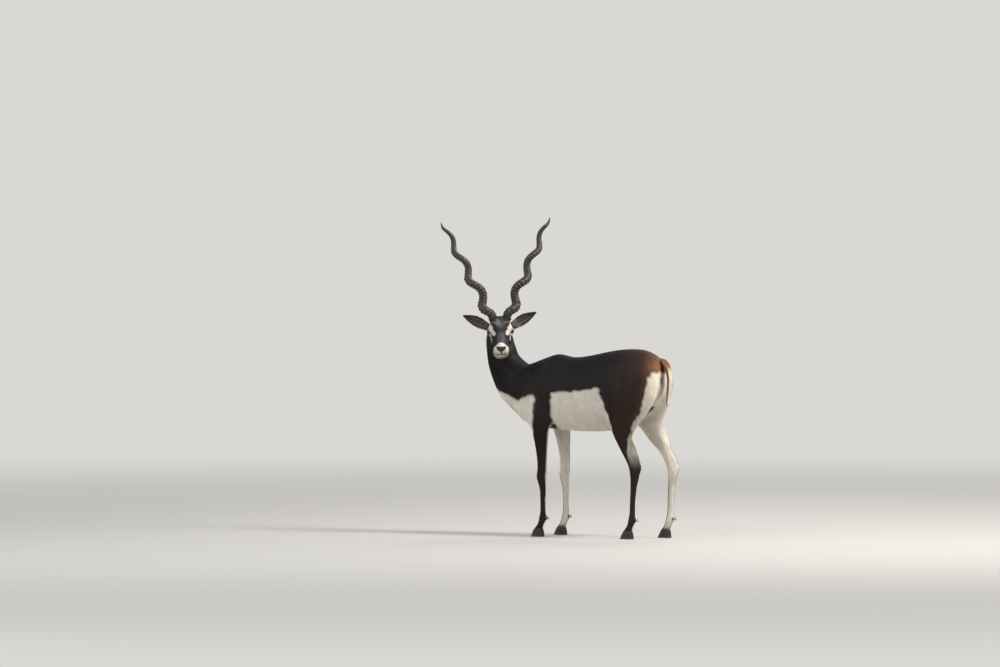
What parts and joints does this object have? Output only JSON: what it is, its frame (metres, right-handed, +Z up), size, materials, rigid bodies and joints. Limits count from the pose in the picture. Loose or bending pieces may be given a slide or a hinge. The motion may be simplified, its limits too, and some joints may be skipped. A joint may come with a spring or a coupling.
{
  "type": "standing male blackbuck model",
  "caption": "Still life-size male blackbuck standing with its head turned back over its left shoulder; long corkscrew horns, black back and white belly.",
  "frame": {"origin": "middle of the bounding box, on the floor under the hooves", "axes": "+Z up, the body heads towards -X, the animal's left side is towards -Y"},
  "size_m": [1.138, 0.369, 1.3849],
  "materials": {
    "black_coat": "short glossy black hair over cream-white below",
    "brown_coat": "short dark brown hair",
    "grey_coat": "fine grey-brown hair, paler along the rim",
    "horn_sheath": "ringed dark horn with a dull shine",
    "hoof_horn": "smooth dark hoof horn",
    "eye_wet": "wet dark brown eye"
  },
  "bodies": {
    "root": {"ear_left": "grey_coat", "ear_right": "grey_coat", "eye_left": "eye_wet", "eye_right": "eye_wet", "foreleg_left_cannon": "brown_coat", "foreleg_left_pastern": "brown_coat", "foreleg_left_upper": "brown_coat", "foreleg_right_cannon": "brown_coat", "foreleg_right_pastern": "brown_coat", "foreleg_right_upper": "brown_coat", "head": "black_coat", "hindleg_left_cannon": "brown_coat", "hindleg_left_pastern": "brown_coat", "hindleg_left_upper": "brown_coat", "hindleg_right_cannon": "brown_coat", "hindleg_right_pastern": "brown_coat", "hindleg_right_upper": "brown_coat", "hoof_fore_left_inner": "hoof_horn", "hoof_fore_left_outer": "hoof_horn", "hoof_fore_right_inner": "hoof_horn", "hoof_fore_right_outer": "hoof_horn", "hoof_hind_left_inner": "hoof_horn", "hoof_hind_left_outer": "hoof_horn", "hoof_hind_right_inner": "hoof_horn", "hoof_hind_right_outer": "hoof_horn", "horn_left": "horn_sheath", "horn_right": "horn_sheath", "neck": "black_coat", "tail": "brown_coat", "torso": "black_coat"}
  },
  "joints": []
}
